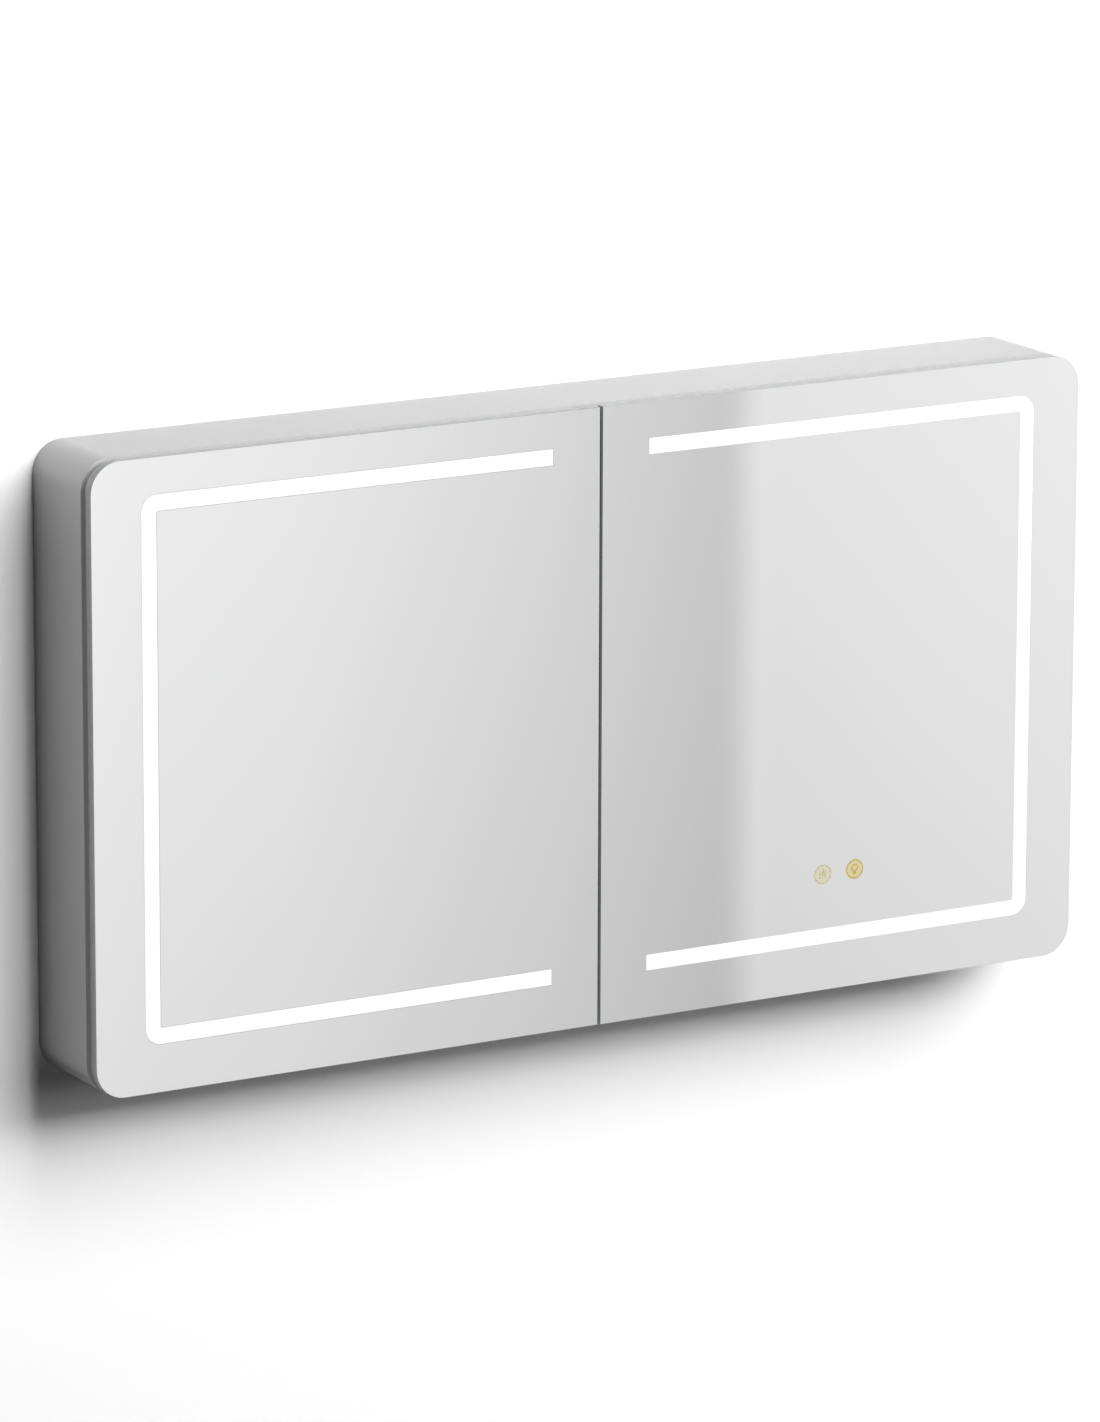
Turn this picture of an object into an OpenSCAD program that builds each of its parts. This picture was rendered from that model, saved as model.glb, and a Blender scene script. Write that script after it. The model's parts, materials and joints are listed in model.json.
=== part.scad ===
// Two-door mirror cabinet with lit mirrors, for a bathroom wall.
// Millimetres, +X right, +Y into the wall, +Z up.
// The origin is the centre of the back face, where it meets the wall.

/* [Cabinet] */
// Overall width
cabinet_w = 1250; // [1150:10:1350]
// Overall height
cabinet_h = 700; // [690:10:760]
// Depth from the wall to the face of the mirrors
cabinet_d = 137; // [132:1:160]
// Radius of the four corners seen from the front
corner_r = 35; // [33:1:46]
// Thickness of the folded aluminium sheet
sheet_t = 1.5; // [1.2:0.1:1.8]
// Width of the folded rims at the front and back of the shell
rim_w = 14; // [13:0.5:14]

/* [Doors] */
// Gap between the two doors
door_gap = 3.5; // [3:0.5:5]
// Thickness of the mirror glass
glass_t = 5; // [4:0.5:5]
// Depth of the door from its face to its back
door_t = 18.5; // [18.5:0.1:18.8]
// Depth at which the frame steps in behind its flange
flange_back = 10.5; // [9.8:0.1:10.5]
// How far the frame steps in behind the flange
frame_step = 3; // [2.5:0.1:3.5]
// Distance from the face of the mirrors to the front rim of the shell
shell_front = 23; // [23:0.5:25]
// Thickness of the mirror on the inside of each door
inner_mirror_t = 3; // [2.5:0.5:3]

/* [Light band] */
// Width of the frosted band
band_w = 18; // [14:1:20]
// Distance from the side edge to the band
band_side = 60; // [56:1:70]
// Distance from the top edge to the band
band_top = 41; // [40:1:60]
// Distance from the bottom edge to the band
band_bottom = 54; // [45:1:70]
// Distance from the middle of the cabinet to the square ends of the band
band_end = 61; // [45:1:90]
// Outer radius of the band's two corners
band_r = 19; // [16:1:20]

/* [Touch icons] */
// Diameter of a touch icon
icon_d = 22; // [18:1:24]
// Place of the light icon, right of the middle and up from mid-height
light_icon_at = [333.5, -214];
// Place of the demister icon, right of the middle and up from mid-height
demister_icon_at = [291, -215];

/* [Hinges] */
// Height of the hinges above and below mid-height
hinge_z = 220; // [200:5:230]
// Distance from the side edge to the pivot
pivot_side = 7.5; // [7.4:0.1:7.6]
// Distance from the face of the mirrors to the pivot
pivot_back = 13.5; // [13.4:0.1:13.5]
// Radius of a hinge pin
pin_r = 1.25; // [1:0.05:1.3]
// Angle that the left door stands open
left_open = 0; // [0:1:95]
// Angle that the right door stands open
right_open = 0; // [0:1:95]

/* [Shelves] */
// Thickness of the glass shelves
shelf_t = 5; // [4:1:6]
// Depth of the glass shelves
shelf_d = 92; // [70:1:93]
// Height of the top of the lower and the upper shelf supports
shelf_levels = [-115, 85];

/* [Wall fixing] */
// Distance between the fixing holes, left to right
fixing_w = 1120; // [1000:10:1140]
// Height of the upper fixing holes
fixing_top = 250; // [200:5:255]
// Height of the lower fixing holes
fixing_low = -300; // [-305:5:-200]
// Radius of the fixing holes
fixing_r = 3.5; // [3:0.5:4]
// Radius of the hole through the supply grommet
grommet_r = 4.5; // [3:0.5:5]

/* [Hidden] */
$fn = 64;

eps = 0.5;                                // how far a cutter runs past the face that it cuts
half_w = cabinet_w / 2;
half_h = cabinet_h / 2;
pivot_x = half_w - pivot_side;
pivot_y = pivot_back - cabinet_d;

// Door frame: widths of its bars and of the ledge that the inner mirror lies on
stile_w = 14.25;
hinge_stile_w = 30;
ledge_w = 6;
inner_mirror_front = door_t - inner_mirror_t;
opening_x0 = door_gap / 2 + stile_w;
opening_x1 = half_w - hinge_stile_w;
opening_z = half_h - stile_w - 1.75;
fit_gap = 0.3;

// Light channel behind the band
channel_wall = 2;
channel_floor = 1.5;
channel_back = 14;
tape_w = 10;
tape_t = 1.2;
band_inner_r = 2.5;

// Hinge, measured from its own mid-height
knuckle_r = 2.7;
base_knuckle_h = 20;
leaf_knuckle_h = 12;
knuckle_gap = 0.3;
hinge_half_h = base_knuckle_h / 2 + knuckle_gap + leaf_knuckle_h;
hinge_run = 0.06;                         // running clearance between the pin and the base
hinge_arm_t = 3.8;
hinge_arm_in = 10.5;                      // how far the arm bends inward from the pivot
hinge_plate_t = 2;
hinge_plate_h = 44;
hinge_plate_front = 27;
hinge_plate_back = 65;
hinge_pocket_h = 52;
leaf_reach = 20;
leaf_strip_w = 6.6;
pocket_wall = 1.5;
leaf_t = 3;
leaf_screw_r = 1.5;
stud_r = 1.5;

// Service compartment at the top
service_z = 281.5;
service_front = -77;
service_half_w = half_w - 50;
service_top = half_h - sheet_t - 0.2;

// Centre divider
divider_half = 9;
divider_face_half = 20;

// Shelf rails and supports
rail_w = 12;
rail_t = 3;
rail_z0 = -160;
rail_z1 = 140;
rail_ys = [-85, -20];
support_drop = 3.5;
support_r = 2.4;
support_hole_step = 32;
seat_l = 9;
seat_w = 8;
seat_h = 6;
shelf_back = -8;

// Door lead, which runs down the pivot line so that it only twists
lead_r = 2;
lead_z = 300;
lead_bend = 6;
lead_in = 2 * lead_bend;
lead_end_z = 258;
lead_turn_y = -60;
gland_z0 = 256;
gland_z1 = 266;

// ---------- shared shapes ----------

// y of a point that lies d behind the face of the mirrors
function from_face(d) = d - cabinet_d;

// Extrudes a front-view outline from d0 to d1 behind the face of the mirrors
module slab(d0, d1) {
  translate([0, from_face(d1), 0]) rotate([90, 0, 0]) linear_extrude(d1 - d0) children();
}

// Box given by two opposite corners
module box(a, b) {
  translate(a) cube(b - a);
}

// Rod along Y between two y values
module rod_y(x, z, y0, y1, r) {
  translate([x, y1, z]) rotate([90, 0, 0]) cylinder(h = y1 - y0, r = r);
}

// Rod along X between two x values
module rod_x(x0, x1, y, z, r) {
  translate([x0, y, z]) rotate([0, 90, 0]) cylinder(h = x1 - x0, r = r);
}

// Moves a right-hand piece to its side: 1 is right, -1 is left
module on_side(side) {
  if (side < 0) mirror([1, 0, 0]) children();
  else children();
}

// Swings a right-hand door piece about its pivot line
module swung(side) {
  angle = side < 0 ? left_open : right_open;
  on_side(side)
    translate([pivot_x, pivot_y, 0]) rotate([0, 0, angle])
      translate([-pivot_x, -pivot_y, 0]) children();
}

// Outline of the whole front, made smaller all round by inset
module front_outline(inset) {
  r = corner_r - inset;
  x = half_w - inset;
  z = half_h - inset;
  union() {
    translate([-x + r, -z]) square([2 * (x - r), 2 * z]);
    translate([-x, -z + r]) square([2 * x, 2 * (z - r)]);
    for (sx = [-1, 1], sz = [-1, 1]) translate([sx * (x - r), sz * (z - r)]) circle(r);
  }
}

// Outline of the right door, made smaller all round by inset
module door_outline(inset) {
  r = corner_r - inset;
  x0 = door_gap / 2 + inset;
  x1 = half_w - inset;
  z = half_h - inset;
  union() {
    translate([x0, -z]) square([x1 - r - x0, 2 * z]);
    translate([x0, -z + r]) square([x1 - x0, 2 * (z - r)]);
    for (sz = [-1, 1]) translate([x1 - r, sz * (z - r)]) circle(r);
  }
}

// Rectangle whose two corners on the right are round
module half_round(x0, x1, z0, z1, r) {
  union() {
    translate([x0, z0]) square([x1 - r - x0, z1 - z0]);
    translate([x0, z0 + r]) square([x1 - x0, z1 - z0 - 2 * r]);
    for (z = [z0 + r, z1 - r]) translate([x1 - r, z]) circle(r);
  }
}

// C-shaped outline of the light band on the right door, made wider all round by grow
module band_outline(grow) {
  x1 = half_w - band_side + grow;
  z0 = band_bottom - half_h - grow;
  z1 = half_h - band_top + grow;
  w = band_w + 2 * grow;
  difference() {
    half_round(band_end - grow, x1, z0, z1, band_r + grow);
    half_round(band_end - grow - eps, x1 - w, z0 + w, z1 - w, max(band_inner_r - grow, 0.4));
  }
}

// ---------- cabinet ----------

module shell_rim(y0, y1) {
  translate([0, y1, 0]) rotate([90, 0, 0]) linear_extrude(y1 - y0) difference() {
    front_outline(sheet_t - 0.2);
    front_outline(sheet_t + rim_w);
  }
}

module cabinet_shell() {
  front_y = from_face(shell_front);
  color("silver") difference() {
    union() {
      slab(shell_front, cabinet_d) difference() {
        front_outline(0);
        front_outline(sheet_t);
      }
      shell_rim(front_y, front_y + sheet_t);
      shell_rim(-2 * sheet_t, -sheet_t);
    }
    for (p = rivet_places()) rod_y(p[0], p[1], -2 * sheet_t - eps, -sheet_t + eps, rivet_r);
  }
}

// Rivets that hold the back panel to the rear rim of the shell
rivet_r = 1.6;
rivet_head_r = 3.2;
rivet_head_h = 1;
rivet_in = sheet_t + rim_w / 2;
rivet_pitch_x = (cabinet_w - 2 * corner_r) / 4;
rivet_pitch_z = (cabinet_h - 2 * corner_r) / 2;
function rivet_places() = concat(
  [for (i = [-2:2], s = [-1, 1]) [i * rivet_pitch_x, s * (half_h - rivet_in)]],
  [for (j = [-1:1], s = [-1, 1]) [s * (half_w - rivet_in), j * rivet_pitch_z]]
);

module back_rivets() {
  color("gainsboro") for (p = rivet_places()) union() {
    rod_y(p[0], p[1], -2 * sheet_t - rivet_head_h, -2 * sheet_t, rivet_head_r);
    rod_y(p[0], p[1], -2 * sheet_t - rivet_head_h, 0, rivet_r - 0.05);
  }
}

function fixing_places() =
  [for (s = [-1, 1], z = [fixing_low, fixing_top]) [s * fixing_w / 2, z]];

// Rubber ring that the supply cable comes in through
grommet_at = [0, 315];
grommet_neck_r = 7;
grommet_flange_r = 10;
grommet_l = 5.5;

module back_panel() {
  color("gainsboro") difference() {
    rotate([90, 0, 0]) linear_extrude(sheet_t) front_outline(sheet_t);
    for (p = fixing_places()) rod_y(p[0], p[1], -sheet_t - eps, eps, fixing_r);
    for (p = rivet_places()) rod_y(p[0], p[1], -sheet_t - eps, eps, rivet_r);
    rod_y(grommet_at[0], grommet_at[1], -sheet_t - eps, eps, grommet_neck_r);
  }
}

module supply_grommet() {
  color("dimgray") difference() {
    union() {
      rod_y(grommet_at[0], grommet_at[1], -sheet_t, 0, grommet_neck_r);
      rod_y(grommet_at[0], grommet_at[1], -grommet_l, -sheet_t, grommet_flange_r);
    }
    rod_y(grommet_at[0], grommet_at[1], -grommet_l - eps, eps, grommet_r);
  }
}

hanger_half_w = 30;
hanger_half_h = 20;
hanger_t = 3;

module hanger_plates() {
  color("silver") for (p = fixing_places()) difference() {
    box([p[0] - hanger_half_w, -sheet_t - hanger_t, p[1] - hanger_half_h],
        [p[0] + hanger_half_w, -sheet_t, p[1] + hanger_half_h]);
    rod_y(p[0], p[1], -sheet_t - hanger_t - eps, -sheet_t + eps, fixing_r);
  }
}

// Folded divider: a front face, two webs, and feet on the back panel
module centre_divider() {
  front_y = from_face(shell_front);
  face_z = half_h - sheet_t - rim_w;
  foot_w = 12;
  web_top = service_z - 0.2;
  color("silver") union() {
    box([-divider_face_half, front_y, -face_z], [divider_face_half, front_y + sheet_t, face_z]);
    for (side = [-1, 1]) on_side(side) {
      box([divider_half - sheet_t, front_y + sheet_t, -half_h + sheet_t],
          [divider_half, -2 * sheet_t, web_top]);
      box([divider_half - sheet_t, -2 * sheet_t, -face_z],
          [divider_half + foot_w, -sheet_t, web_top]);
    }
  }
}

// Cover of the compartment that hides the driver and the wiring
module service_cover() {
  back_y = -2 * sheet_t - 0.2;
  color("whitesmoke") difference() {
    union() {
      box([-service_half_w, service_front, service_z],
          [service_half_w, service_front + sheet_t, service_top]);
      box([-service_half_w, service_front, service_z],
          [service_half_w, back_y, service_z + sheet_t]);
      for (side = [-1, 1]) on_side(side)
        box([service_half_w - sheet_t, service_front, service_z],
            [service_half_w, back_y, service_top]);
    }
    for (x = service_screw_xs)
      rod_y(x, service_screw_z, service_front - eps, service_front + sheet_t + eps,
            service_screw_r + 0.1);
    for (side = [-1, 1]) on_side(side)
      rod_x(service_half_w - sheet_t - eps, service_half_w + eps, lead_turn_y, lead_z, lead_r + 1);
  }
}

service_screw_xs = [-480, -160, 160, 480];
service_screw_z = 333;
service_screw_r = 2;

module service_brackets() {
  y0 = service_front + sheet_t;
  foot_top = half_h - sheet_t;
  tongue_half_w = 10;
  tongue_below = 8;
  tongue_t = 2;
  foot_l = 14;
  color("silver") for (x = service_screw_xs) difference() {
    union() {
      box([x - tongue_half_w, y0, service_screw_z - tongue_below],
          [x + tongue_half_w, y0 + tongue_t, foot_top]);
      box([x - tongue_half_w, y0, foot_top - tongue_t],
          [x + tongue_half_w, y0 + foot_l, foot_top]);
    }
    rod_y(x, service_screw_z, y0 - eps, y0 + tongue_t + eps, service_screw_r + 0.1);
  }
}

module service_screws() {
  head_r = 4;
  head_h = 1.8;
  shank_l = 8;
  slot_size = 4.4;
  slot_depth = 1;
  color("gainsboro") for (x = service_screw_xs) difference() {
    union() {
      rod_y(x, service_screw_z, service_front - head_h, service_front, head_r);
      rod_y(x, service_screw_z, service_front - head_h, service_front + shank_l, service_screw_r);
    }
    cross_slot(x, service_screw_z, service_front - head_h, slot_size, slot_depth);
  }
}

// Cross slot in a screw head that faces -Y, from y inward
module cross_slot(x, z, y, size, depth) {
  w = size / 5;
  box([x - size / 2, y - eps, z - w / 2], [x + size / 2, y + depth, z + w / 2]);
  box([x - w / 2, y - eps, z - size / 2], [x + w / 2, y + depth, z + size / 2]);
}

module led_driver() {
  size = [190, 40, 28];
  at = [-330, -62, service_z + sheet_t];
  tab = [14, 24, 2];
  tab_hole_r = 2.2;
  vent = [6, 2, 12];
  vent_pitch = 24;
  vent_low = 8;
  color("white") difference() {
    union() {
      translate(at) cube(size);
      translate([at[0] - tab[0], at[1] + (size[1] - tab[1]) / 2, at[2]])
        cube([size[0] + 2 * tab[0], tab[1], tab[2]]);
    }
    for (x = [at[0] - tab[0] / 2, at[0] + size[0] + tab[0] / 2])
      translate([x, at[1] + size[1] / 2, at[2] - eps])
        cylinder(h = tab[2] + 2 * eps, r = tab_hole_r);
    for (i = [1:7])
      translate([at[0] + i * vent_pitch - 4, at[1] - eps, at[2] + vent_low])
        cube([vent[0], vent[1] + eps, vent[2]]);
  }
}

module terminal_box() {
  size = [74, 36, 24];
  at = [60, -58, service_z + sheet_t];
  well_in = 9;
  well_pitch = 14;
  well_r = 3;
  well_depth = 4;
  entry_r = 2.5;
  entry_depth = 6;
  color("dimgray") difference() {
    translate(at) cube(size);
    for (i = [0:4]) {
      x = at[0] + well_in + i * well_pitch;
      translate([x, at[1] + 10, at[2] + size[2] - well_depth])
        cylinder(h = well_depth + eps, r = well_r);
      rod_y(x, at[2] + 10, at[1] - eps, at[1] + entry_depth, entry_r);
    }
  }
}

// Rails for the shelf supports, on the sides and on the divider
function rail_faces() = [half_w - sheet_t - rail_t, divider_half];

module shelf_rails() {
  color("gainsboro")
    for (side = [-1, 1], x = rail_faces(), y = rail_ys) on_side(side) difference() {
      box([x, y - rail_w / 2, rail_z0], [x + rail_t, y + rail_w / 2, rail_z1]);
      for (level = shelf_levels, k = [-1:1])
        rod_x(x - eps, x + rail_t + eps, y, level - support_drop + k * support_hole_step,
              support_r + 0.1);
    }
}

// Support with its shank in a rail and its seat on the side given by way
module shelf_pin(face_x, way, y, level) {
  seat_x = way < 0 ? face_x : face_x + rail_t;
  seat_x0 = way < 0 ? seat_x - seat_l : seat_x;
  union() {
    rod_x(face_x + (way < 0 ? -1 : 0), face_x + rail_t + (way < 0 ? 0 : 1), y,
          level - support_drop, support_r);
    box([seat_x0, y - seat_w / 2, level - seat_h], [seat_x0 + seat_l, y + seat_w / 2, level]);
  }
}

module shelf_pins() {
  color("gainsboro") for (side = [-1, 1], y = rail_ys, level = shelf_levels) on_side(side) {
    shelf_pin(rail_faces()[0], -1, y, level);
    shelf_pin(rail_faces()[1], 1, y, level);
  }
}

module shelf(side, level) {
  x0 = divider_half + rail_t + 1.2;
  x1 = half_w - sheet_t - rail_t - 1.2;
  r = 4;
  color([0.72, 0.86, 0.84, 0.5]) on_side(side) translate([0, 0, level]) linear_extrude(shelf_t) {
    translate([x0 + r, shelf_back - shelf_d]) square([x1 - x0 - 2 * r, shelf_d]);
    translate([x0, shelf_back - shelf_d + r]) square([x1 - x0, shelf_d - r]);
    for (x = [x0 + r, x1 - r]) translate([x, shelf_back - shelf_d + r]) circle(r);
  }
}

module left_upper_shelf() shelf(-1, shelf_levels[1]);
module left_lower_shelf() shelf(-1, shelf_levels[0]);
module right_upper_shelf() shelf(1, shelf_levels[1]);
module right_lower_shelf() shelf(1, shelf_levels[0]);

// ---------- hinges ----------

function base_stud_ys() = [from_face(hinge_plate_front + 14), from_face(hinge_plate_back - 8)];
base_stud_dz = 14;

// The half of a hinge that is fixed inside the shell. Its arm bends inward and back, so that
// the door can swing without a slot in its side.
module hinge_base(side, z) {
  wall_x = half_w - sheet_t;
  arm_half = hinge_arm_t / 2;
  arm_x = pivot_x - hinge_arm_in;
  half_k = base_knuckle_h / 2;
  foot_y0 = from_face(hinge_plate_front);
  foot_y1 = from_face(hinge_plate_front + 4);
  color("lightgray") on_side(side) difference() {
    union() {
      translate([pivot_x, pivot_y, z - half_k]) cylinder(h = base_knuckle_h, r = knuckle_r);
      box([arm_x, pivot_y - arm_half, z - half_k], [pivot_x, pivot_y + arm_half, z + half_k]);
      box([arm_x - arm_half, pivot_y - arm_half, z - half_k],
          [arm_x + arm_half, foot_y1, z + half_k]);
      box([arm_x, foot_y0, z - half_k], [wall_x, foot_y1, z + half_k]);
      box([wall_x - hinge_plate_t, foot_y0, z - hinge_plate_h / 2],
          [wall_x, from_face(hinge_plate_back), z + hinge_plate_h / 2]);
    }
    translate([pivot_x, pivot_y, z - half_k - eps])
      cylinder(h = base_knuckle_h + 2 * eps, r = pin_r + hinge_run);
    for (y = base_stud_ys(), dz = [-base_stud_dz, base_stud_dz])
      rod_x(wall_x - hinge_plate_t - eps, wall_x + eps, y, z + dz, stud_r + 0.1);
  }
}

module left_upper_hinge_base() hinge_base(-1, hinge_z);
module left_lower_hinge_base() hinge_base(-1, -hinge_z);
module right_upper_hinge_base() hinge_base(1, hinge_z);
module right_lower_hinge_base() hinge_base(1, -hinge_z);

// Studs welded to the shell, each with a nut that clamps the hinge base
module hinge_base_nuts() {
  wall_x = half_w - sheet_t;
  nut_h = 2.6;
  color("gainsboro")
    for (side = [-1, 1], hz = [-hinge_z, hinge_z], y = base_stud_ys(),
         dz = [-base_stud_dz, base_stud_dz])
      on_side(side) union() {
        rod_x(wall_x - hinge_plate_t - nut_h - 1.5, wall_x, y, hz + dz, stud_r);
        translate([wall_x - hinge_plate_t - nut_h, y, hz + dz])
          rotate([0, 90, 0]) cylinder(h = nut_h, r = 3.1, $fn = 6);
      }
}

function leaf_screw_x() = pivot_x - leaf_reach + 4.5;
leaf_screw_dz = 16;

// The half of a hinge that is fixed to a door
module hinge_leaf(side, z) {
  half_k = base_knuckle_h / 2 + knuckle_gap;
  plate_y = from_face(flange_back);
  color("lightgray") swung(side) difference() {
    union() {
      for (z0 = [half_k, -half_k - leaf_knuckle_h])
        translate([pivot_x, pivot_y, z + z0]) cylinder(h = leaf_knuckle_h, r = knuckle_r);
      box([pivot_x - leaf_reach, plate_y, z - hinge_half_h],
          [pivot_x, plate_y + leaf_t, z + hinge_half_h]);
    }
    box([pivot_x - leaf_reach + leaf_strip_w, plate_y - eps, z - half_k],
        [pivot_x + knuckle_r + eps, plate_y + leaf_t + eps, z + half_k]);
    translate([pivot_x, pivot_y, z - hinge_half_h - eps])
      cylinder(h = 2 * (hinge_half_h + eps), r = pin_r + 0.01);
    for (dz = [-leaf_screw_dz, leaf_screw_dz])
      rod_y(leaf_screw_x(), z + dz, plate_y - eps, plate_y + leaf_t + eps, leaf_screw_r + 0.1);
  }
}

module left_upper_hinge_leaf() hinge_leaf(-1, hinge_z);
module left_lower_hinge_leaf() hinge_leaf(-1, -hinge_z);
module right_upper_hinge_leaf() hinge_leaf(1, hinge_z);
module right_lower_hinge_leaf() hinge_leaf(1, -hinge_z);

module hinge_pins(side) {
  head_h = 1;
  color("gray") swung(side) for (z = [-hinge_z, hinge_z]) union() {
    translate([pivot_x, pivot_y, z - hinge_half_h - head_h])
      cylinder(h = 2 * (hinge_half_h + head_h), r = pin_r);
    for (z0 = [hinge_half_h, -hinge_half_h - head_h])
      translate([pivot_x, pivot_y, z + z0]) cylinder(h = head_h, r = pin_r + 1);
  }
}

module left_hinge_pins() hinge_pins(-1);
module right_hinge_pins() hinge_pins(1);

leaf_screw_l = 4;

module hinge_screws(side) {
  seat_y = from_face(flange_back) + leaf_t;
  head_h = 1.5;
  color("gainsboro") swung(side)
    for (hz = [-hinge_z, hinge_z], dz = [-leaf_screw_dz, leaf_screw_dz]) difference() {
      union() {
        rod_y(leaf_screw_x(), hz + dz, seat_y - leaf_t - leaf_screw_l, seat_y + head_h,
              leaf_screw_r);
        rod_y(leaf_screw_x(), hz + dz, seat_y, seat_y + head_h, 2.8);
      }
      cross_slot(leaf_screw_x(), hz + dz, seat_y + head_h - 0.9 + eps, 3.2, 0.9);
    }
}

module left_hinge_screws() hinge_screws(-1);
module right_hinge_screws() hinge_screws(1);

// ---------- catch, bumpers and leads ----------

magnet_x = [5.5, 17.5];
magnet_half_h = 15;
striker_t = 0.8;
catch_gap = 0.2;

module catch_magnets() {
  front = door_t + striker_t + catch_gap;
  color("whitesmoke") for (side = [-1, 1]) on_side(side)
    box([magnet_x[0], from_face(front), -magnet_half_h],
        [magnet_x[1], from_face(shell_front), magnet_half_h]);
}

module striker_plate(side) {
  color("gray") swung(side)
    box([magnet_x[0], from_face(door_t), -magnet_half_h],
        [magnet_x[1] - 2, from_face(door_t + striker_t), magnet_half_h]);
}

module left_striker_plate() striker_plate(-1);
module right_striker_plate() striker_plate(1);

bumper_r = 4;
bumper_xs = [40, 560];

module door_bumpers() {
  z = half_h - sheet_t - rim_w / 2;
  color("white") for (side = [-1, 1], x = bumper_xs, sz = [-1, 1]) on_side(side)
    rod_y(x, sz * z, from_face(door_t + 0.3), from_face(shell_front), bumper_r);
}

// Round bar bent through 90 degrees in the XY plane, from +X round to +Y
module lead_elbow() {
  rotate_extrude(angle = 90) translate([lead_bend, 0]) circle(lead_r);
}

// Flexible lead: out of the service compartment, forward, inward to the pivot line, and down
module door_lead(side) {
  lead_x = pivot_x - lead_in;
  front_y = pivot_y + lead_bend;
  color("white") on_side(side) union() {
    translate([pivot_x, pivot_y, lead_end_z])
      cylinder(h = lead_z - lead_bend - lead_end_z, r = lead_r);
    translate([pivot_x - lead_bend, pivot_y, lead_z - lead_bend])
      rotate([90, 0, 0]) lead_elbow();
    translate([pivot_x - lead_bend, front_y, lead_z]) rotate([0, 0, 180]) lead_elbow();
    rod_y(lead_x, lead_z, front_y, lead_turn_y - lead_bend, lead_r);
    translate([lead_x - lead_bend, lead_turn_y - lead_bend, lead_z]) lead_elbow();
    rod_x(service_half_w - 10, lead_x - lead_bend, lead_turn_y, lead_z, lead_r);
  }
}

module left_door_lead() door_lead(-1);
module right_door_lead() door_lead(1);

module lead_gland(side) {
  color("dimgray") swung(side) difference() {
    box([pivot_x - 7, from_face(flange_back), gland_z0],
        [pivot_x + 2.5, from_face(flange_back + 6.5), gland_z1]);
    translate([pivot_x, pivot_y, gland_z0 + 1.5])
      cylinder(h = gland_z1 - gland_z0, r = lead_r + 0.35);
  }
}

module left_lead_gland() lead_gland(-1);
module right_lead_gland() lead_gland(1);

// ---------- doors ----------

// Pockets in the back of a door frame for the hinges and the lead
module frame_pockets() {
  x0 = pivot_x - leaf_reach - 1;
  x1 = half_w - frame_step - pocket_wall;
  y0 = from_face(flange_back);
  y1 = from_face(door_t) + eps;
  for (z = [-hinge_z, hinge_z])
    box([x0, y0, z - hinge_pocket_h / 2], [x1, y1, z + hinge_pocket_h / 2]);
  box([pivot_x - lead_in - lead_r - 1, y0, gland_z0 - 0.5], [x1, y1, lead_z + lead_r + 6]);
  for (hz = [-hinge_z, hinge_z], dz = [-leaf_screw_dz, leaf_screw_dz])
    rod_y(leaf_screw_x(), hz + dz, y0 - leaf_screw_l - 0.3, y0 + eps, leaf_screw_r + 0.05);
}

module door_frame(side) {
  color("silver") swung(side) difference() {
    union() {
      slab(glass_t, flange_back) door_outline(0);
      slab(flange_back - 0.1, door_t) door_outline(frame_step);
    }
    box([opening_x0 + ledge_w, from_face(glass_t) - eps, -opening_z + ledge_w],
        [opening_x1 - ledge_w, from_face(door_t) + eps, opening_z - ledge_w]);
    box([opening_x0, from_face(inner_mirror_front), -opening_z],
        [opening_x1, from_face(door_t) + eps, opening_z]);
    frame_pockets();
  }
}

module left_door_frame() door_frame(-1);
module right_door_frame() door_frame(1);

module inner_mirror(side) {
  color("lightsteelblue") swung(side)
    box([opening_x0 + fit_gap, from_face(inner_mirror_front), -opening_z + fit_gap],
        [opening_x1 - fit_gap, from_face(door_t), opening_z - fit_gap]);
}

module left_inner_mirror() inner_mirror(-1);
module right_inner_mirror() inner_mirror(1);

module mirror_glass(side, icons) {
  color([0.82, 0.85, 0.87]) swung(side) difference() {
    slab(0, glass_t) door_outline(0);
    slab(-eps, glass_t + eps) band_outline(0);
    if (icons) slab(-eps, icon_t) {
      light_icon_outline();
      demister_icon_outline();
    }
  }
}

module left_mirror_glass() mirror_glass(-1, false);
module right_mirror_glass() mirror_glass(1, true);

module light_band(side) {
  color("white") swung(side) slab(0, glass_t) band_outline(0);
}

module left_light_band() light_band(-1);
module right_light_band() light_band(1);

// Trough that holds the light tape behind the band
module led_channel(side) {
  color("whitesmoke") swung(side) difference() {
    slab(glass_t, channel_back) band_outline(channel_wall);
    slab(glass_t - eps, channel_back - channel_floor) band_outline(0);
  }
}

module left_led_channel() led_channel(-1);
module right_led_channel() led_channel(1);

module led_tape(side) {
  back = channel_back - channel_floor;
  color("khaki") swung(side) slab(back - tape_t, back) band_outline((tape_w - band_w) / 2);
}

module left_led_tape() led_tape(-1);
module right_led_tape() led_tape(1);

// Heating film on the back of the glass
pad_half_w = 190;
pad_z = [-180, 220];
pad_t = 0.8;

module demister_pad(side) {
  mid_x = (door_gap / 2 + half_w) / 2;
  color("darkorange") swung(side)
    box([mid_x - pad_half_w, from_face(glass_t), pad_z[0]],
        [mid_x + pad_half_w, from_face(glass_t + pad_t), pad_z[1]]);
}

module left_demister_pad() demister_pad(-1);
module right_demister_pad() demister_pad(1);

// ---------- touch icons ----------

icon_t = 0.4;
icon_line = 1;

module icon_ring() {
  difference() {
    circle(icon_d / 2);
    circle(icon_d / 2 - icon_line);
  }
}

// A lamp: a round bulb over a short cap
module light_icon_outline() {
  translate(light_icon_at) {
    icon_ring();
    difference() {
      translate([0, 1.4]) circle(4.2);
      translate([0, 1.4]) circle(4.2 - icon_line);
    }
    translate([-1.8, -5.6]) square([3.6, 2]);
  }
}

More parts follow.
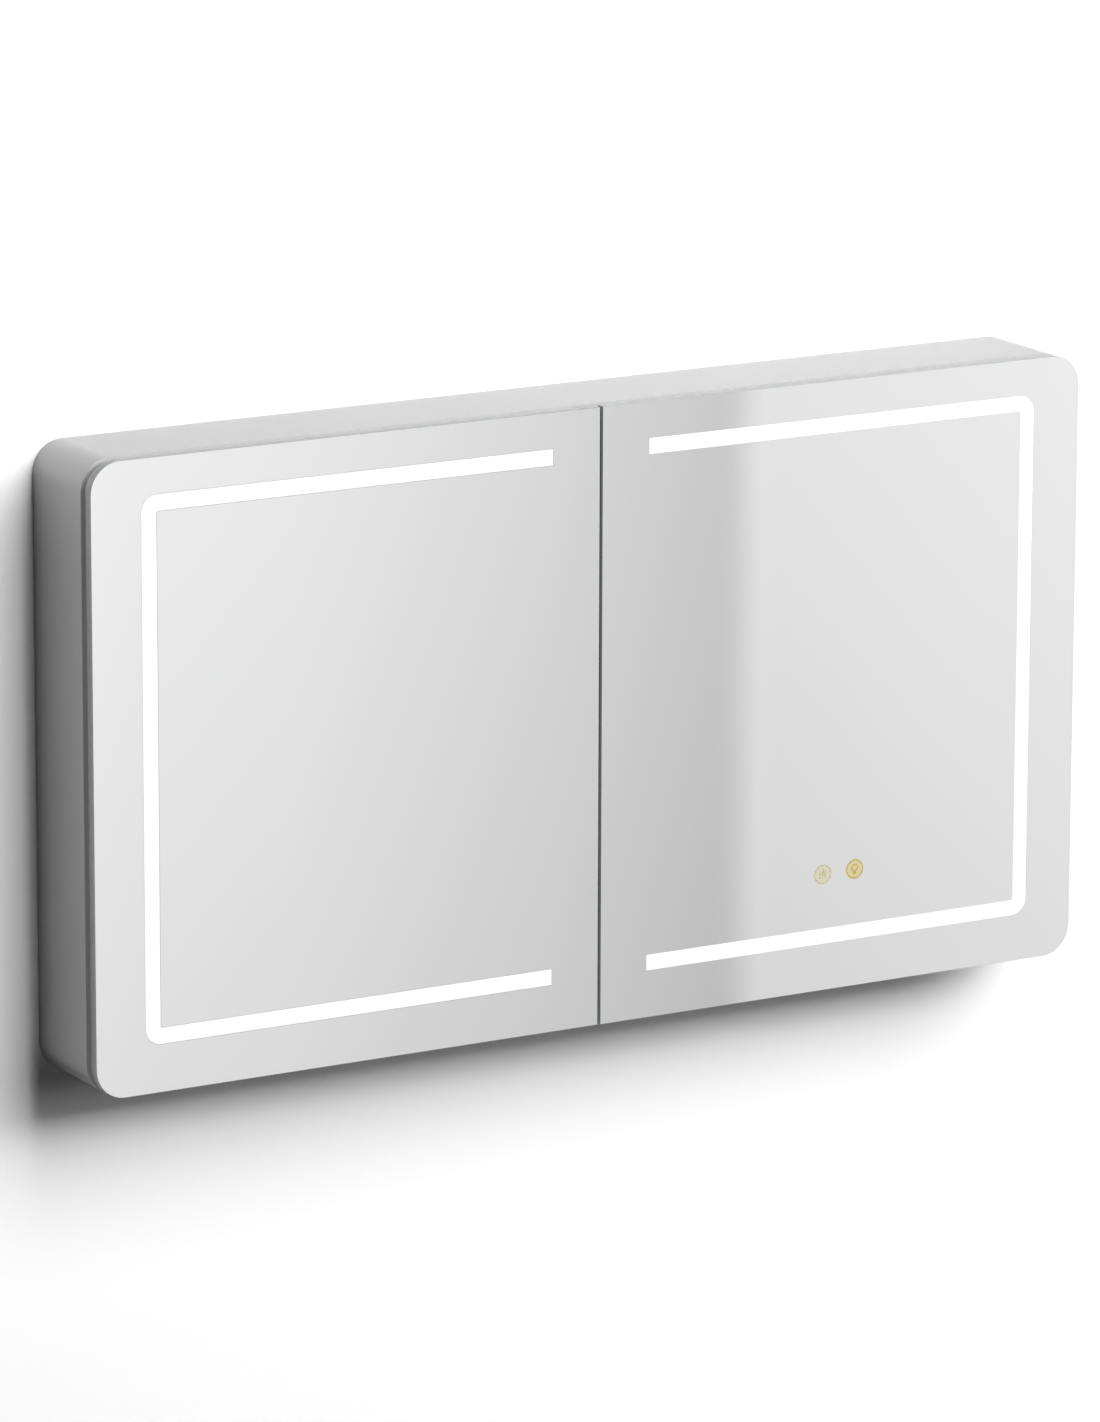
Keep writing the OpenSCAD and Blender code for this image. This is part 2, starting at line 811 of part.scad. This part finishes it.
// Three bars of rising heat
module demister_icon_outline() {
  translate(demister_icon_at) {
    icon_ring();
    for (x = [-3.6, 0, 3.6]) translate([x - icon_line / 2, -4]) square([icon_line, 8]);
  }
}

module light_icon() {
  color("goldenrod") swung(1) slab(0, icon_t) light_icon_outline();
}

module demister_icon() {
  color("khaki") swung(1) slab(0, icon_t) demister_icon_outline();
}

sensor_half = 14;
sensor_t = 4;

module touch_sensor(at) {
  color("seagreen") swung(1)
    box([at[0] - sensor_half, from_face(glass_t), at[1] - sensor_half],
        [at[0] + sensor_half, from_face(glass_t + sensor_t), at[1] + sensor_half]);
}

module light_touch_sensor() touch_sensor(light_icon_at);
module demister_touch_sensor() touch_sensor(demister_icon_at);

// ---------- nodes ----------

cabinet_shell();
back_panel();
back_rivets();
centre_divider();
service_cover();
service_brackets();
service_screws();
led_driver();
terminal_box();
supply_grommet();
hanger_plates();
shelf_rails();
shelf_pins();
left_upper_shelf();
left_lower_shelf();
right_upper_shelf();
right_lower_shelf();
left_upper_hinge_base();
left_lower_hinge_base();
right_upper_hinge_base();
right_lower_hinge_base();
hinge_base_nuts();
catch_magnets();
door_bumpers();
left_door_lead();
right_door_lead();
left_mirror_glass();
left_light_band();
left_door_frame();
left_inner_mirror();
left_led_channel();
left_led_tape();
left_demister_pad();
left_upper_hinge_leaf();
left_lower_hinge_leaf();
left_hinge_pins();
left_hinge_screws();
left_striker_plate();
left_lead_gland();
right_mirror_glass();
right_light_band();
right_door_frame();
right_inner_mirror();
right_led_channel();
right_led_tape();
right_demister_pad();
right_upper_hinge_leaf();
right_lower_hinge_leaf();
right_hinge_pins();
right_hinge_screws();
right_striker_plate();
right_lead_gland();
light_icon();
demister_icon();
light_touch_sensor();
demister_touch_sensor();
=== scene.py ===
"""Looks of a two-door mirror cabinet with lit bands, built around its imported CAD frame."""

import json
import math

import bmesh
import bpy
from mathutils import Matrix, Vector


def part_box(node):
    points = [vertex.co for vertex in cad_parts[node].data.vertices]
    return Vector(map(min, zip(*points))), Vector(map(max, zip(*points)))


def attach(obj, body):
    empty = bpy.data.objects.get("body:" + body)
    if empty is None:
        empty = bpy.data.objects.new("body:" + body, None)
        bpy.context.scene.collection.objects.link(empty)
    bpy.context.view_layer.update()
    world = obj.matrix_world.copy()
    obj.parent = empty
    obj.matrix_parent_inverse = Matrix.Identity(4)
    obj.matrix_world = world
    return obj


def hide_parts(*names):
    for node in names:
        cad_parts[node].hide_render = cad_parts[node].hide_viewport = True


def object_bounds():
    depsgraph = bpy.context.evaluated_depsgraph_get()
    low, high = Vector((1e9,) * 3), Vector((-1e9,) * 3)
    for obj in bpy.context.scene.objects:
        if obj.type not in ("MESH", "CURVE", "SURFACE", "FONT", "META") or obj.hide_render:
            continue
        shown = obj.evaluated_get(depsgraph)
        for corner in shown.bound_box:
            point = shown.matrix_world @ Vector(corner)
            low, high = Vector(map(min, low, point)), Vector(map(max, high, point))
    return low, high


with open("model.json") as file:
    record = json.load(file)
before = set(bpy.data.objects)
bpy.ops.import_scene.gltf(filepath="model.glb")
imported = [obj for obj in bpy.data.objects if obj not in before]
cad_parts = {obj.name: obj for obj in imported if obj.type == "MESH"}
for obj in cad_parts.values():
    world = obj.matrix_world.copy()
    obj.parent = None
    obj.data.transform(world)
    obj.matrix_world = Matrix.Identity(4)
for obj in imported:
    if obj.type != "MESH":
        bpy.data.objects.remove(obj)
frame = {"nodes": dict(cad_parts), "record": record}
cad_low, cad_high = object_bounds()
NODES = frame["nodes"]
RECORD = frame["record"]
SLOT_OF = {part["node"]: part["material_slot"] for part in RECORD["subparts"]}
BODY_OF = {n: b for b, members in RECORD["behaviour"]["bodies"].items() for n in members}

MM = 0.001

# ---------- materials ----------


def material(name):
    """A new material with its Principled shader, and the node tree to add to."""
    made = bpy.data.materials.new(name)
    made.use_nodes = True
    tree = made.node_tree
    return made, tree, tree.nodes["Principled BSDF"]


def set_sockets(shader, **values):
    """Sets uniform values on the shader's own sockets. Underscores in a name stand for spaces."""
    for name, value in values.items():
        shader.inputs[name.replace("_", " ")].default_value = value


def coordinates(tree, stretch=(1, 1, 1)):
    """Position in the row frame, in metres, scaled along each axis."""
    place = tree.nodes.new("ShaderNodeTexCoord")
    mapping = tree.nodes.new("ShaderNodeMapping")
    mapping.inputs["Scale"].default_value = stretch
    tree.links.new(place.outputs["Object"], mapping.inputs["Vector"])
    return mapping.outputs["Vector"]


def noise(tree, scale, detail=3.0, stretch=(1, 1, 1)):
    """The grey value of a noise pattern with that many cells in a metre."""
    made = tree.nodes.new("ShaderNodeTexNoise")
    made.inputs["Scale"].default_value = scale
    made.inputs["Detail"].default_value = detail
    tree.links.new(coordinates(tree, stretch), made.inputs["Vector"])
    return made.outputs["Fac"]


def value_of(tree, operation, *values):
    """A Math node's result for sockets or plain numbers."""
    made = tree.nodes.new("ShaderNodeMath")
    made.operation = operation
    for socket, value in zip(made.inputs, values):
        if isinstance(value, (int, float)):
            socket.default_value = value
        else:
            tree.links.new(value, socket)
    return made.outputs["Value"]


def span(tree, value, low, high, from_low=0.3, from_high=0.7):
    """Spreads a grey value over a range."""
    made = tree.nodes.new("ShaderNodeMapRange")
    made.inputs["From Min"].default_value = from_low
    made.inputs["From Max"].default_value = from_high
    made.inputs["To Min"].default_value = low
    made.inputs["To Max"].default_value = high
    tree.links.new(value, made.inputs["Value"])
    return made.outputs["Result"]


def tint(tree, value, dark, light):
    """Colour between dark and light by a grey value. Either can be a colour or a socket."""
    made = tree.nodes.new("ShaderNodeMix")
    made.data_type = "RGBA"
    for socket, colour in ((made.inputs["A"], dark), (made.inputs["B"], light)):
        if isinstance(colour, tuple):
            socket.default_value = (*colour, 1)
        else:
            tree.links.new(colour, socket)
    tree.links.new(value, made.inputs["Factor"])
    return made.outputs["Result"]


def bump(tree, shader, value, strength, distance):
    """Relief from a grey value; distance is its height in metres."""
    made = tree.nodes.new("ShaderNodeBump")
    made.inputs["Strength"].default_value = strength
    made.inputs["Distance"].default_value = distance
    tree.links.new(value, made.inputs["Height"])
    tree.links.new(made.outputs["Normal"], shader.inputs["Normal"])


def varied(name, dark, light, rough, scale, grain, grain_height, stretch=(1, 1, 1), **values):
    """A finish whose colour and roughness drift with a noise, over a fine grain in relief."""
    made, tree, shader = material(name)
    drift = noise(tree, scale, 4.0, stretch)
    tree.links.new(tint(tree, span(tree, drift, 0, 1), dark, light), shader.inputs["Base Color"])
    tree.links.new(span(tree, drift, *rough), shader.inputs["Roughness"])
    bump(tree, shader, noise(tree, grain, 2.0, stretch), 0.35, grain_height)
    set_sockets(shader, **values)
    return made


def grey(value):
    return (value, value, value)


def silver(name, dark, light, rough):
    """Satin aluminium with a slow drift in tone and a very fine grain."""
    return varied(name, grey(dark), grey(light), rough, 5, 1600, 0.000006, Metallic=0.6)


HALO_R = 0.0112                 # radius of the glow round a touch icon
HALO_SOFT = 0.0025              # width of its soft edge


def mirror(name, halos=()):
    """Silvered glass: nearly perfect, with the faintest drift in its tone and polish.

    halos are pairs of a CAD node and the tone that its backlight gives the glass round it.
    """
    made, tree, shader = material(name)
    drift = noise(tree, 3.0, 2.0)
    colour = tint(tree, drift, (0.885, 0.89, 0.89), (0.905, 0.905, 0.905))
    for node, tone in halos:
        low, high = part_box(node)
        away = tree.nodes.new("ShaderNodeVectorMath")
        away.operation = "DISTANCE"
        tree.links.new(coordinates(tree, (1, 0, 1)), away.inputs[0])
        away.inputs[1].default_value = ((low.x + high.x) / 2, 0, (low.z + high.z) / 2)
        glow = span(tree, away.outputs["Value"], 1, 0, HALO_R - HALO_SOFT, HALO_R + HALO_SOFT)
        colour = tint(tree, glow, colour, tone)
    tree.links.new(colour, shader.inputs["Base Color"])
    tree.links.new(span(tree, drift, 0.004, 0.016), shader.inputs["Roughness"])
    set_sockets(shader, Metallic=1.0)
    return made


def glowing(name, dark, light, scale, colour, strength, rough=(0.45, 0.6)):
    """A surface that gives off light, with a fine etched grain. On faces that are no lamp this is
    painted light.
    """
    made = varied(name, dark, light, rough, scale, 2600, 0.00003)
    shader = made.node_tree.nodes["Principled BSDF"]
    shader.inputs["Emission Color"].default_value = (*colour, 1)
    shader.inputs["Emission Strength"].default_value = strength
    return made


def clear_glass(name):
    """Toughened shelf glass with a faint green body."""
    made, tree, shader = material(name)
    drift = noise(tree, 5.0, 2.0)
    tree.links.new(tint(tree, drift, (0.90, 0.965, 0.945), (0.93, 0.98, 0.965)),
                   shader.inputs["Base Color"])
    tree.links.new(span(tree, drift, 0.0, 0.02), shader.inputs["Roughness"])
    set_sockets(shader, Transmission_Weight=1.0, IOR=1.5)
    return made


def dotted_tape(name):
    """LED tape: phosphor dots along a white board."""
    made, tree, shader = material(name)
    cells = tree.nodes.new("ShaderNodeTexVoronoi")
    cells.inputs["Scale"].default_value = 60
    cells.inputs["Randomness"].default_value = 0.0
    tree.links.new(coordinates(tree), cells.inputs["Vector"])
    dots = span(tree, cells.outputs["Distance"], 1, 0, 0.22, 0.26)
    tree.links.new(tint(tree, dots, (0.88, 0.88, 0.86), (0.93, 0.78, 0.22)),
                   shader.inputs["Base Color"])
    tree.links.new(span(tree, dots, 0.5, 0.3, 0, 1), shader.inputs["Roughness"])
    return made


def heater_film(name):
    """Amber film with fine printed tracks."""
    made, tree, shader = material(name)
    tracks = tree.nodes.new("ShaderNodeTexWave")
    tracks.bands_direction = "Z"
    tracks.inputs["Scale"].default_value = 22
    tree.links.new(coordinates(tree), tracks.inputs["Vector"])
    lines = span(tree, tracks.outputs["Fac"], 0, 1, 0.6, 0.7)
    tree.links.new(tint(tree, lines, (0.62, 0.25, 0.05), (0.55, 0.45, 0.38)),
                   shader.inputs["Base Color"])
    tree.links.new(span(tree, lines, 0.30, 0.42, 0, 1), shader.inputs["Roughness"])
    return made


def make_finishes():
    """One finish for each material slot of the record, and two for particular faces.

    Those two glow faintly: painted light, in place of the light that the floor doesn't give back.
    """
    return {
        "shell_metal": silver("shell_metal", 0.32, 0.335, (0.29, 0.34)),
        "inner_sheet": silver("inner_sheet", 0.57, 0.60, (0.34, 0.42)),
        # darker than the shell: partly the frame's own anodised tone, partly painted shade of the
        # recess behind the glass
        "frame_metal": silver("frame_metal", 0.25, 0.265, (0.30, 0.36)),
        "zinc_steel": varied("zinc_steel", grey(0.50), grey(0.62), (0.30, 0.42), 160, 1200,
                             0.00003, Metallic=1.0),
        "hinge_nickel": varied("hinge_nickel", (0.62, 0.60, 0.57), (0.70, 0.68, 0.65),
                               (0.12, 0.24), 120, 1500, 0.00002, Metallic=1.0),
        "shelf_glass": clear_glass("shelf_glass"),
        "mirror_front": mirror("mirror_front", (("light_icon", (0.90, 0.79, 0.46)),
                                                ("demister_icon", (0.885, 0.85, 0.68)))),
        "mirror_inside": mirror("mirror_inside"),
        "frosted_light": glowing("frosted_light", grey(0.30), grey(0.33), 60, grey(1.0), 0.62),
        "white_plastic": varied("white_plastic", grey(0.80), grey(0.86), (0.42, 0.55), 90, 2200,
                                0.00004),
        "dark_plastic": varied("dark_plastic", grey(0.035), grey(0.06), (0.45, 0.6), 90, 2200,
                               0.00004),
        "black_rubber": varied("black_rubber", grey(0.02), grey(0.035), (0.6, 0.8), 140, 1600,
                               0.00006),
        "clear_bumper": varied("clear_bumper", grey(0.66), grey(0.74), (0.30, 0.42), 140, 1600,
                               0.00003, Transmission_Weight=0.35),
        "lead_jacket": varied("lead_jacket", grey(0.74), grey(0.82), (0.45, 0.6), 140, 1600,
                              0.00004),
        "led_strip": dotted_tape("led_strip"),
        "heater_film": heater_film("heater_film"),
        "sensor_board": varied("sensor_board", (0.02, 0.16, 0.06), (0.03, 0.24, 0.09),
                               (0.3, 0.5), 300, 900, 0.0001),
        "icon_bright": glowing("icon_bright", (0.33, 0.23, 0.02), (0.40, 0.29, 0.03), 500,
                               (1.0, 0.72, 0.10), 0.08),
        "icon_dim": glowing("icon_dim", (0.40, 0.37, 0.17), (0.46, 0.42, 0.21), 500,
                            (1.0, 0.90, 0.45), 0.06),
        # painted glow: the shell's front rim gives off a faint light over its own pale grey, to
        # lighten the gap
        "pale_rim_painted_glow": glowing("pale_rim_painted_glow", grey(0.36), grey(0.39), 40, (1, 1, 1), 0.08, (0.45, 0.55)),
        # painted glow: the mirror edges give off a faint light over the glass's own dark green
        "glass_edge_painted_glow": glowing("glass_edge_painted_glow", (0.13, 0.145, 0.14), (0.155, 0.17, 0.165), 60,
                              (0.93, 1.0, 0.98), 0.09, (0.30, 0.38)),
    }


# ---------- pieces ----------

SHARP = math.radians(32)        # edges that turn more than this are real edges, and get a bevel
FLAT = math.radians(0.05)       # faces that turn less than this are one face


ACCENTS = {                     # faces that get a finish of their own, by the end of a node's name
    # the mirror panes' edges get a dark green glass finish with a painted glow
    "mirror_glass": ("glass_edge_painted_glow", lambda normal: abs(normal.y) < 0.999),
    "inner_mirror": ("glass_edge_painted_glow", lambda normal: abs(normal.y) < 0.999),
    # the shell's front rim gets a pale grey finish with a painted glow
    "cabinet_shell": ("pale_rim_painted_glow", lambda normal: normal.y < -0.9),
}


def dressed(node, finishes, bevel, accent=None):
    """Rebuilds a CAD node as clean mesh with rounded edges, in its slot's finish."""
    mesh = bmesh.new()
    mesh.from_mesh(NODES[node].data)
    bmesh.ops.remove_doubles(mesh, verts=mesh.verts, dist=0.002 * MM)
    bmesh.ops.dissolve_limit(mesh, angle_limit=FLAT, verts=mesh.verts, edges=mesh.edges)
    edges = [e for e in mesh.edges if len(e.link_faces) == 2 and e.calc_face_angle(0) > SHARP]
    if bevel and edges:
        bmesh.ops.bevel(mesh, geom=edges, offset=bevel, segments=2, profile=0.5,
                        affect="EDGES", clamp_overlap=True)
    mesh.normal_update()
    for face in mesh.faces:
        face.smooth = True
        face.material_index = 1 if accent and accent[1](face.normal) else 0
    data = bpy.data.meshes.new(node + "_look")
    mesh.to_mesh(data)
    mesh.free()
    piece = bpy.data.objects.new(node + "_look", data)
    bpy.context.scene.collection.objects.link(piece)
    data.materials.append(finishes[SLOT_OF[node]])
    if accent:
        data.materials.append(finishes[accent[0]])
    shading = piece.modifiers.new("face_weighted_shading", "WEIGHTED_NORMAL")
    shading.keep_sharp = True
    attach(piece, BODY_OF[node])
    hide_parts(node)
    return piece


def repaint(node, finishes):
    """Gives a CAD node that keeps its own shape its slot's finish."""
    data = NODES[node].data
    data.materials.clear()
    data.materials.append(finishes[SLOT_OF[node]])


BEVELS = {                      # edge radius in millimetres, by the end of a node's name
    "mirror_glass": 0.5,
    "inner_mirror": 0.3,
    "light_band": 0,
    "door_frame": 0.5,
    "cabinet_shell": 0.5,
    "centre_divider": 0.4,
    "service_cover": 0.4,
    "shelf": 0.6,
    "hinge_base": 0.3,
    "hinge_leaf": 0.3,
    "led_driver": 0.8,
    "terminal_box": 0.5,
    "catch_magnets": 0.6,
    "striker_plate": 0.15,
    "hanger_plates": 0.3,
    "shelf_rails": 0.25,
    "shelf_pins": 0.4,
    "service_brackets": 0.3,
    "supply_grommet": 0.8,
    "door_bumpers": 0.7,
    "lead_gland": 0.5,
}


def make_pieces(finishes):
    for node in NODES:
        kind = next((k for k in BEVELS if node.endswith(k)), None)
        if kind is None:
            repaint(node, finishes)
        else:
            dressed(node, finishes, BEVELS[kind] * MM, ACCENTS.get(kind))


# ---------- stage ----------

WALL_HALF = 6.0                 # half the width of the wall, in metres
WALL_GAP = 0.0004               # the wall is this far behind the cabinet's back
FLOOR_Z = -1.6
FLOOR_FRONT = -3.4
WALL_TOP = 7.0
CORNER_R = 0.035                # the cabinet's outer corner radius
FAN_STEPS = 12
HOLE_INSET = 0.002              # the wall is open behind the cabinet, this far inside its edge
WALL_LOOK = (0.9, 0.25, 0.75, 1.4)      # grey, grey in mirrors, and where that starts and is full
FLOOR_LOOK = (0.8, 0.3, 0.8, 1.7)


def one_sided(name, shade, mirrored, near, far):
    """A pale matte stage material that is clear when seen from behind.

    Away from the cabinet, from near to far in metres, the mirrors see it as the darker grey.
    """
    made, tree, shader = material(name)
    distance = tree.nodes.new("ShaderNodeVectorMath")
    distance.operation = "LENGTH"
    tree.links.new(coordinates(tree), distance.inputs[0])
    path = tree.nodes.new("ShaderNodeLightPath")
    away = value_of(tree, "MULTIPLY", path.outputs["Is Glossy Ray"],
                    span(tree, distance.outputs["Value"], 0.0, 1.0, near, far))
    pale = tint(tree, noise(tree, 2.0), grey(shade - 0.01), grey(shade))
    tree.links.new(tint(tree, away, pale, grey(mirrored)), shader.inputs["Base Color"])
    set_sockets(shader, Roughness=1.0)
    shader.inputs["Specular IOR Level"].default_value = 0.0
    clear = tree.nodes.new("ShaderNodeBsdfTransparent")
    side = tree.nodes.new("ShaderNodeNewGeometry")
    mix = tree.nodes.new("ShaderNodeMixShader")
    tree.links.new(side.outputs["Backfacing"], mix.inputs["Fac"])
    tree.links.new(shader.outputs["BSDF"], mix.inputs[1])
    tree.links.new(clear.outputs["BSDF"], mix.inputs[2])
    tree.links.new(mix.outputs["Shader"], tree.nodes["Material Output"].inputs["Surface"])
    return made


def sheet_of_faces(name, corner_lists, finish):
    """A stage object of flat faces."""
    mesh = bmesh.new()
    for corners in corner_lists:
        mesh.faces.new([mesh.verts.new(c) for c in corners])
    data = bpy.data.meshes.new(name)
    mesh.to_mesh(data)
    mesh.free()
    data.materials.append(finish)
    made = bpy.data.objects.new(name, data)
    bpy.context.scene.collection.objects.link(made)
    return made


def upright(x0, x1, z0, z1):
    """Corners of a wall panel that faces the room."""
    y = WALL_GAP
    return [(x0, y, z0), (x1, y, z0), (x1, y, z1), (x0, y, z1)]


def corner_fan(sx, sz, centre_x, centre_z, radius, far_z):
    """Wall faces round one rounded corner of the opening, fanned from the wall's own corner."""
    turns = [math.radians(90 * k / FAN_STEPS) for k in range(FAN_STEPS + 1)]
    rim = [(WALL_HALF, centre_z)]
    rim += [(centre_x + radius * math.cos(t), centre_z + radius * math.sin(t)) for t in turns]
    rim += [(centre_x, far_z)]
    faces = []
    for a, b in zip(rim, rim[1:]):
        corners = [(sx * x, WALL_GAP, sz * z) for x, z in (a, b, (WALL_HALF, far_z))]
        faces.append(corners[::-1] if sx * sz > 0 else corners)
    return faces


def make_stage():
    """A wall, open behind the cabinet so that its back stays lit, and a short floor."""
    half_x = cad_high.x - HOLE_INSET
    half_z = cad_high.z - HOLE_INSET
    radius = CORNER_R - HOLE_INSET
    centre_x = half_x - radius
    centre_z = half_z - radius
    wall = [
        upright(-WALL_HALF, -half_x, -centre_z, centre_z),
        upright(half_x, WALL_HALF, -centre_z, centre_z),
        upright(-centre_x, centre_x, FLOOR_Z, -half_z),
        upright(-centre_x, centre_x, half_z, WALL_TOP),
    ]
    for sx in (-1, 1):
        wall += corner_fan(sx, 1, centre_x, centre_z, radius, WALL_TOP)
        wall += corner_fan(sx, -1, centre_x, centre_z, radius, -FLOOR_Z)
    sheet_of_faces("stage_wall", wall, one_sided("stage_wall", *WALL_LOOK))
    floor = [(-WALL_HALF, FLOOR_FRONT, FLOOR_Z), (WALL_HALF, FLOOR_FRONT, FLOOR_Z),
             (WALL_HALF, WALL_GAP, FLOOR_Z), (-WALL_HALF, WALL_GAP, FLOOR_Z)]
    ground = sheet_of_faces("stage_floor", [floor], one_sided("stage_floor", *FLOOR_LOOK))
    ground.visible_diffuse = False      # so that no light comes up from it under the cabinet


LIGHTS = {                      # each faces the wall squarely: place, size in metres, watts
    "key": ((3.8, -6.0, 6.2), (8.2, 8.6), 1430),
    "core": ((3.8, -6.0, 2.7), (8.2, 1.8), 235),
    "strip": ((-0.25, -6.0, 6.2), (0.7, 8.6), 210),
    "low": ((3.7, -6.0, 1.0), (8.2, 1.6), 85),
}


def make_lights():
    """Four soft lights in one plane, up and to the right, which act as one uneven key light."""
    for name, (place, size, watts) in LIGHTS.items():
        data = bpy.data.lights.new(name, "AREA")
        data.shape = "RECTANGLE"
        data.size, data.size_y = size
        data.energy = watts
        light = bpy.data.objects.new(name, data)
        light.location = place
        light.rotation_euler = (math.radians(90), 0, 0)
        light.visible_glossy = False
        light.visible_camera = False
        bpy.context.scene.collection.objects.link(light)


# ---------- surroundings seen in the mirrors ----------

SKY = 0.07                      # light on matte surfaces from above the horizon
GROUND = 0.004                  # and from below it
BEHIND = 0.80                   # and from behind the wall, which only the cabinet's back sees
BACKDROP = 1.0                  # what the camera sees past the wall
COVE_TURN = (26.31, 34.05)      # the cove's two ends, in degrees to the right of straight out
COVE_STOPS = [(0.0, 0.925), (0.24, 0.857), (0.49, 0.722), (0.64, 0.618),
              (0.655, 0.635), (0.682, 0.815), (0.70, 0.806), (1.0, 0.875)]
COVE_RISE = (0.87, 1.13, -0.296, -0.166)        # its level low and high, and those two heights


def choose(tree, flag, no, yes):
    """One value where the flag is 0 and the other where it is 1."""
    made = tree.nodes.new("ShaderNodeMix")
    made.data_type = "FLOAT"
    for socket, value in ((made.inputs[0], flag), (made.inputs[2], no), (made.inputs[3], yes)):
        if isinstance(value, (int, float)):
            socket.default_value = value
        else:
            tree.links.new(value, socket)
    return made.outputs[0]


def ramp(tree, value, stops):
    """Grey values at chosen places, joined by straight lines."""
    made = tree.nodes.new("ShaderNodeValToRGB")
    elements = made.color_ramp.elements
    while len(elements) < len(stops):
        elements.new(0.5)
    for element, (place, level) in zip(elements, stops):
        element.position = place
        element.color = (level, level, level, 1)
    tree.links.new(value, made.inputs["Fac"])
    return made.outputs["Color"]


def make_world():
    """A soft studio. The mirrors see a pale cove with one soft dark panel to the right."""
    world = bpy.data.worlds.new("studio")
    bpy.context.scene.world = world
    world.use_nodes = True
    tree = world.node_tree
    background = tree.nodes["Background"]
    place = tree.nodes.new("ShaderNodeTexCoord")
    split = tree.nodes.new("ShaderNodeSeparateXYZ")
    tree.links.new(place.outputs["Generated"], split.inputs["Vector"])
    x, y, z = (split.outputs[axis] for axis in "XYZ")
    turn = value_of(tree, "ARCTAN2", x, value_of(tree, "MULTIPLY", y, -1.0))
    across = span(tree, turn, 0, 1, *map(math.radians, COVE_TURN))
    cove = ramp(tree, across, COVE_STOPS)
    seen = value_of(tree, "MULTIPLY", cove, span(tree, z, *COVE_RISE))
    matte = span(tree, z, GROUND, SKY, -0.02, 0.08)
    matte = choose(tree, value_of(tree, "GREATER_THAN", y, 0.0), matte, BEHIND)
    path = tree.nodes.new("ShaderNodeLightPath")
    level = choose(tree, path.outputs["Is Glossy Ray"], matte, seen)
    level = choose(tree, path.outputs["Is Camera Ray"], level, BACKDROP)
    tree.links.new(level, background.inputs["Strength"])
    background.inputs["Color"].default_value = (1, 1, 1, 1)


# ---------- camera ----------

CAMERA_AT = (-4.3816, -7.5954, 2.0897)
CAMERA_YAW = 30.066             # degrees to the right of straight at the wall
CAMERA_PITCH = 13.529           # degrees below level
CAMERA_ROLL = 0.169
CAMERA_LENS = 204.53


def make_camera():
    data = bpy.data.cameras.new("camera")
    data.lens = CAMERA_LENS
    data.sensor_width = 36
    camera = bpy.data.objects.new("camera", data)
    bpy.context.scene.collection.objects.link(camera)
    turn = (Matrix.Rotation(math.radians(-CAMERA_YAW), 3, "Z")
            @ Matrix.Rotation(math.radians(90 - CAMERA_PITCH), 3, "X")
            @ Matrix.Rotation(math.radians(CAMERA_ROLL), 3, "Z"))
    camera.matrix_world = Matrix.Translation(CAMERA_AT) @ turn.to_4x4()
    bpy.context.scene.camera = camera


bpy.context.scene.view_settings.view_transform = "Standard"
make_camera()
make_pieces(make_finishes())
make_stage()
make_lights()
make_world()
